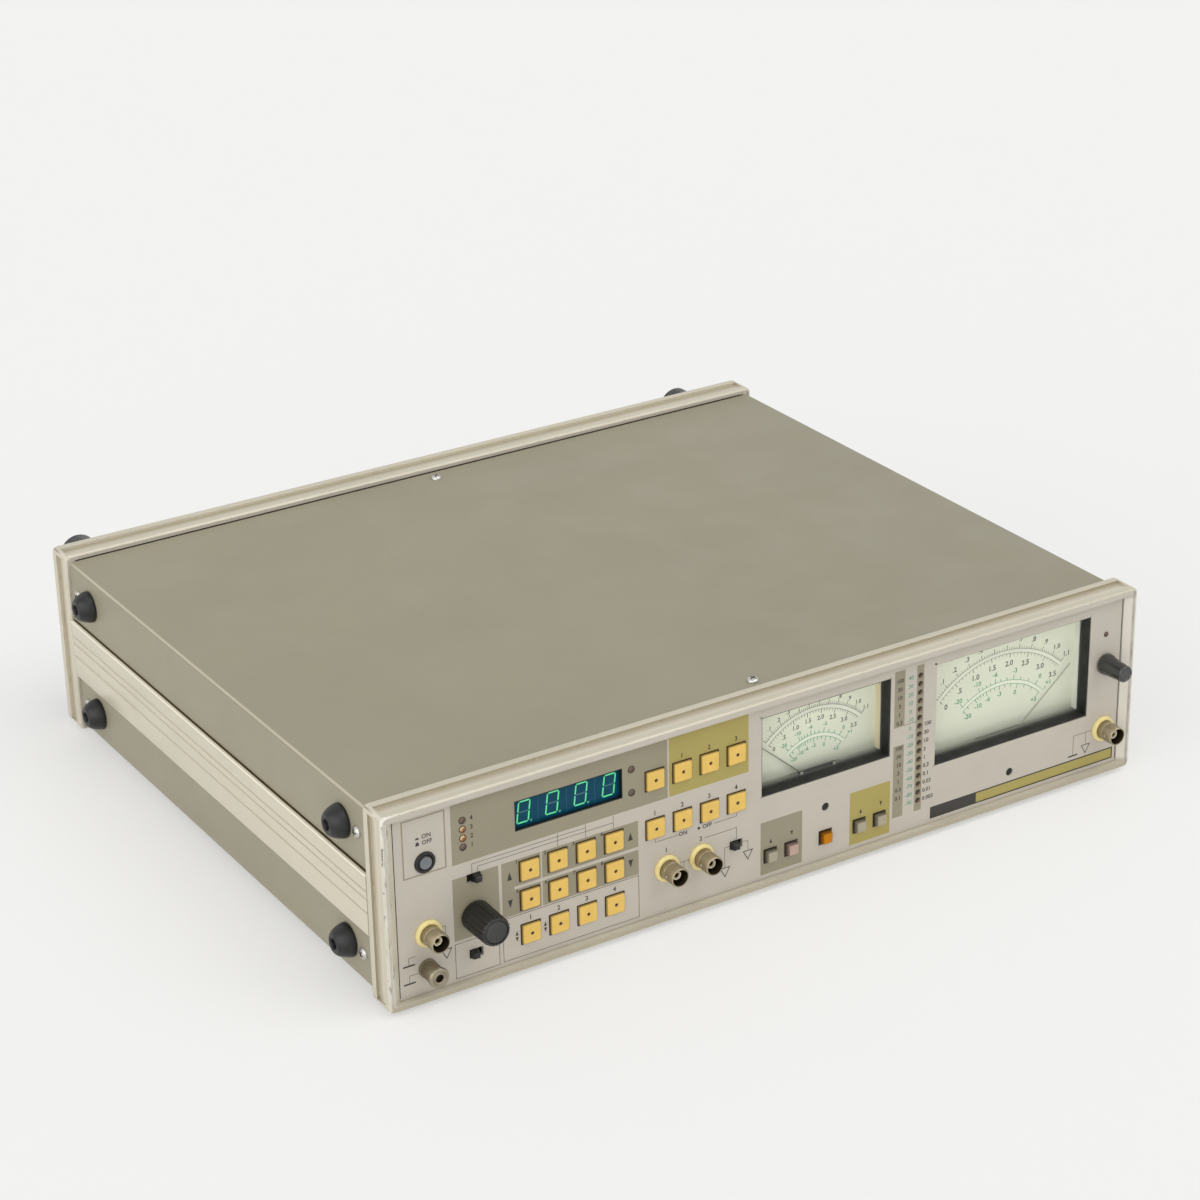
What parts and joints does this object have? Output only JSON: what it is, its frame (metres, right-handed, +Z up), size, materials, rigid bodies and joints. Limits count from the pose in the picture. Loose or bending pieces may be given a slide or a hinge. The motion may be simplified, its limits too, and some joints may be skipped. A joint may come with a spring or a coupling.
{
  "type": "audio analyzer",
  "caption": "Bench audio analyzer: a low cast-framed case with a lit key panel, a digital frequency display, moving-coil meters, bayonet sockets and knobs.",
  "frame": {"origin": "under the middle of the part's box, on the plane of the bottom feet", "axes": "+X to the right as seen from the front, +Y from the front panel to the rear, +Z up"},
  "size_m": [0.4324, 0.3962, 0.1015],
  "materials": {
    "cover_paint": "worn satin paint, finely textured",
    "frame_paint": "worn satin paint on a casting",
    "rail_paint": "satin, scuffed",
    "panel_paint": "satin with printed blocks",
    "foot_rubber": "moulded",
    "yellow_key": "moulded",
    "grey_key": "moulded",
    "pink_key": "moulded",
    "orange_key": "moulded",
    "black_plastic": "moulded",
    "button_grey": "moulded",
    "nickel": "tarnished nickel plating",
    "clear_window": "clear",
    "display_filter": "tinted",
    "needle_paint": "matt",
    "circuit_board": "solder mask",
    "core_steel": "laminated"
  },
  "bodies": {
    "chassis": {"front_frame": "frame_paint", "rear_frame": "frame_paint", "top_cover": "cover_paint", "bottom_cover": "cover_paint", "left_side_rail": "rail_paint", "right_side_rail": "rail_paint", "front_panel": "panel_paint", "rear_panel": "cover_paint", "level_meter_case": "black_plastic", "ratio_meter_case": "black_plastic", "level_meter_window": "clear_window", "ratio_meter_window": "clear_window", "display_window": "display_filter", "ground_terminal": "nickel", "front_circuit_board": "circuit_board", "main_circuit_board": "circuit_board", "power_transformer": "core_steel", "mains_inlet": "black_plastic", "output_socket": "nickel", "input_a_socket": "nickel", "input_b_socket": "nickel", "monitor_socket": "nickel", "side_foot_lower_front": "foot_rubber", "side_foot_lower_rear": "foot_rubber", "side_foot_upper_front": "foot_rubber", "side_foot_upper_rear": "foot_rubber"},
    "display_key": {"display_key": "yellow_key"},
    "measurement_key_1": {"measurement_key_1": "yellow_key"},
    "measurement_key_2": {"measurement_key_2": "yellow_key"},
    "measurement_key_3": {"measurement_key_3": "yellow_key"},
    "upper_preset_key_1": {"upper_preset_key_1": "yellow_key"},
    "upper_preset_key_2": {"upper_preset_key_2": "yellow_key"},
    "upper_preset_key_3": {"upper_preset_key_3": "yellow_key"},
    "upper_preset_key_4": {"upper_preset_key_4": "yellow_key"},
    "lower_preset_key_1": {"lower_preset_key_1": "yellow_key"},
    "lower_preset_key_2": {"lower_preset_key_2": "yellow_key"},
    "lower_preset_key_3": {"lower_preset_key_3": "yellow_key"},
    "lower_preset_key_4": {"lower_preset_key_4": "yellow_key"},
    "mode_key_1": {"mode_key_1": "yellow_key"},
    "mode_key_2": {"mode_key_2": "yellow_key"},
    "mode_key_3": {"mode_key_3": "yellow_key"},
    "mode_key_4": {"mode_key_4": "yellow_key"},
    "filter_key_1": {"filter_key_1": "yellow_key"},
    "filter_key_2": {"filter_key_2": "yellow_key"},
    "filter_key_3": {"filter_key_3": "yellow_key"},
    "filter_key_4": {"filter_key_4": "yellow_key"},
    "input_range_up_key": {"input_range_up_key": "grey_key"},
    "input_range_down_key": {"input_range_down_key": "pink_key"},
    "ranging_key": {"ranging_key": "orange_key"},
    "measurement_range_up_key": {"measurement_range_up_key": "grey_key"},
    "measurement_range_down_key": {"measurement_range_down_key": "grey_key"},
    "tuning_slide": {"tuning_slide": "black_plastic"},
    "amplitude_slide": {"amplitude_slide": "black_plastic"},
    "input_slide": {"input_slide": "black_plastic"},
    "power_button": {"power_button": "button_grey"},
    "tuning_knob": {"tuning_knob": "black_plastic"},
    "reference_shaft": {"reference_shaft": "nickel"},
    "reference_knob": {"reference_knob": "black_plastic"},
    "level_meter_needle": {"level_meter_needle": "needle_paint"},
    "ratio_meter_needle": {"ratio_meter_needle": "needle_paint"}
  },
  "joints": [
    {"name": "tuning_knob_turn", "type": "hinge", "parent": "chassis", "child": "tuning_knob", "pos_m": [-0.16335, -0.1786, 0.0379], "axis": [0, 1, 0], "continuous": true},
    {"name": "reference_pull", "type": "slide", "parent": "chassis", "child": "reference_shaft", "axis": [0, -1, 0], "range_m": [0, 0.003]},
    {"name": "reference_turn", "type": "hinge", "parent": "reference_shaft", "child": "reference_knob", "pos_m": [0.19945, -0.1786, 0.0635], "axis": [0, 1, 0], "range_deg": [-150, 150]},
    {"name": "level_meter_swing", "type": "hinge", "parent": "chassis", "child": "level_meter_needle", "pos_m": [0.0291, -0.1683, 0.0438], "axis": [0, 1, 0], "range_deg": [0, 98]},
    {"name": "ratio_meter_swing", "type": "hinge", "parent": "chassis", "child": "ratio_meter_needle", "pos_m": [0.1411, -0.1683, 0.0269], "axis": [0, 1, 0], "range_deg": [-100, 0]},
    {"name": "tuning_slide_travel", "type": "slide", "parent": "chassis", "child": "tuning_slide", "axis": [1, 0, 0], "range_m": [-0.0024, 0]},
    {"name": "amplitude_slide_travel", "type": "slide", "parent": "chassis", "child": "amplitude_slide", "axis": [1, 0, 0], "range_m": [0, 0.0024]},
    {"name": "input_slide_travel", "type": "slide", "parent": "chassis", "child": "input_slide", "axis": [1, 0, 0], "range_m": [0, 0.0024]},
    {"name": "power_button_press", "type": "slide", "parent": "chassis", "child": "power_button", "axis": [0, 1, 0], "range_m": [0, 0.0025]},
    {"name": "display_key_press", "type": "slide", "parent": "chassis", "child": "display_key", "axis": [0, 1, 0], "range_m": [0, 0.0012], "stiffness_N_per_m": 600, "springref_m": -0.0005},
    {"name": "measurement_key_1_press", "type": "slide", "parent": "chassis", "child": "measurement_key_1", "axis": [0, 1, 0], "range_m": [0, 0.0012], "stiffness_N_per_m": 600, "springref_m": -0.0005},
    {"name": "measurement_key_2_press", "type": "slide", "parent": "chassis", "child": "measurement_key_2", "axis": [0, 1, 0], "range_m": [0, 0.0012], "stiffness_N_per_m": 600, "springref_m": -0.0005},
    {"name": "measurement_key_3_press", "type": "slide", "parent": "chassis", "child": "measurement_key_3", "axis": [0, 1, 0], "range_m": [0, 0.0012], "stiffness_N_per_m": 600, "springref_m": -0.0005},
    {"name": "upper_preset_key_1_press", "type": "slide", "parent": "chassis", "child": "upper_preset_key_1", "axis": [0, 1, 0], "range_m": [0, 0.0012], "stiffness_N_per_m": 600, "springref_m": -0.0005},
    {"name": "upper_preset_key_2_press", "type": "slide", "parent": "chassis", "child": "upper_preset_key_2", "axis": [0, 1, 0], "range_m": [0, 0.0012], "stiffness_N_per_m": 600, "springref_m": -0.0005},
    {"name": "upper_preset_key_3_press", "type": "slide", "parent": "chassis", "child": "upper_preset_key_3", "axis": [0, 1, 0], "range_m": [0, 0.0012], "stiffness_N_per_m": 600, "springref_m": -0.0005},
    {"name": "upper_preset_key_4_press", "type": "slide", "parent": "chassis", "child": "upper_preset_key_4", "axis": [0, 1, 0], "range_m": [0, 0.0012], "stiffness_N_per_m": 600, "springref_m": -0.0005},
    {"name": "lower_preset_key_1_press", "type": "slide", "parent": "chassis", "child": "lower_preset_key_1", "axis": [0, 1, 0], "range_m": [0, 0.0012], "stiffness_N_per_m": 600, "springref_m": -0.0005},
    {"name": "lower_preset_key_2_press", "type": "slide", "parent": "chassis", "child": "lower_preset_key_2", "axis": [0, 1, 0], "range_m": [0, 0.0012], "stiffness_N_per_m": 600, "springref_m": -0.0005},
    {"name": "lower_preset_key_3_press", "type": "slide", "parent": "chassis", "child": "lower_preset_key_3", "axis": [0, 1, 0], "range_m": [0, 0.0012], "stiffness_N_per_m": 600, "springref_m": -0.0005},
    {"name": "lower_preset_key_4_press", "type": "slide", "parent": "chassis", "child": "lower_preset_key_4", "axis": [0, 1, 0], "range_m": [0, 0.0012], "stiffness_N_per_m": 600, "springref_m": -0.0005},
    {"name": "mode_key_1_press", "type": "slide", "parent": "chassis", "child": "mode_key_1", "axis": [0, 1, 0], "range_m": [0, 0.0012], "stiffness_N_per_m": 600, "springref_m": -0.0005},
    {"name": "mode_key_2_press", "type": "slide", "parent": "chassis", "child": "mode_key_2", "axis": [0, 1, 0], "range_m": [0, 0.0012], "stiffness_N_per_m": 600, "springref_m": -0.0005},
    {"name": "mode_key_3_press", "type": "slide", "parent": "chassis", "child": "mode_key_3", "axis": [0, 1, 0], "range_m": [0, 0.0012], "stiffness_N_per_m": 600, "springref_m": -0.0005},
    {"name": "mode_key_4_press", "type": "slide", "parent": "chassis", "child": "mode_key_4", "axis": [0, 1, 0], "range_m": [0, 0.0012], "stiffness_N_per_m": 600, "springref_m": -0.0005},
    {"name": "filter_key_1_press", "type": "slide", "parent": "chassis", "child": "filter_key_1", "axis": [0, 1, 0], "range_m": [0, 0.0012], "stiffness_N_per_m": 600, "springref_m": -0.0005},
    {"name": "filter_key_2_press", "type": "slide", "parent": "chassis", "child": "filter_key_2", "axis": [0, 1, 0], "range_m": [0, 0.0012], "stiffness_N_per_m": 600, "springref_m": -0.0005},
    {"name": "filter_key_3_press", "type": "slide", "parent": "chassis", "child": "filter_key_3", "axis": [0, 1, 0], "range_m": [0, 0.0012], "stiffness_N_per_m": 600, "springref_m": -0.0005},
    {"name": "filter_key_4_press", "type": "slide", "parent": "chassis", "child": "filter_key_4", "axis": [0, 1, 0], "range_m": [0, 0.0012], "stiffness_N_per_m": 600, "springref_m": -0.0005},
    {"name": "input_range_up_key_press", "type": "slide", "parent": "chassis", "child": "input_range_up_key", "axis": [0, 1, 0], "range_m": [0, 0.0012], "stiffness_N_per_m": 600, "springref_m": -0.0005},
    {"name": "input_range_down_key_press", "type": "slide", "parent": "chassis", "child": "input_range_down_key", "axis": [0, 1, 0], "range_m": [0, 0.0012], "stiffness_N_per_m": 600, "springref_m": -0.0005},
    {"name": "ranging_key_press", "type": "slide", "parent": "chassis", "child": "ranging_key", "axis": [0, 1, 0], "range_m": [0, 0.0012], "stiffness_N_per_m": 600, "springref_m": -0.0005},
    {"name": "measurement_range_up_key_press", "type": "slide", "parent": "chassis", "child": "measurement_range_up_key", "axis": [0, 1, 0], "range_m": [0, 0.0012], "stiffness_N_per_m": 600, "springref_m": -0.0005},
    {"name": "measurement_range_down_key_press", "type": "slide", "parent": "chassis", "child": "measurement_range_down_key", "axis": [0, 1, 0], "range_m": [0, 0.0012], "stiffness_N_per_m": 600, "springref_m": -0.0005}
  ]
}
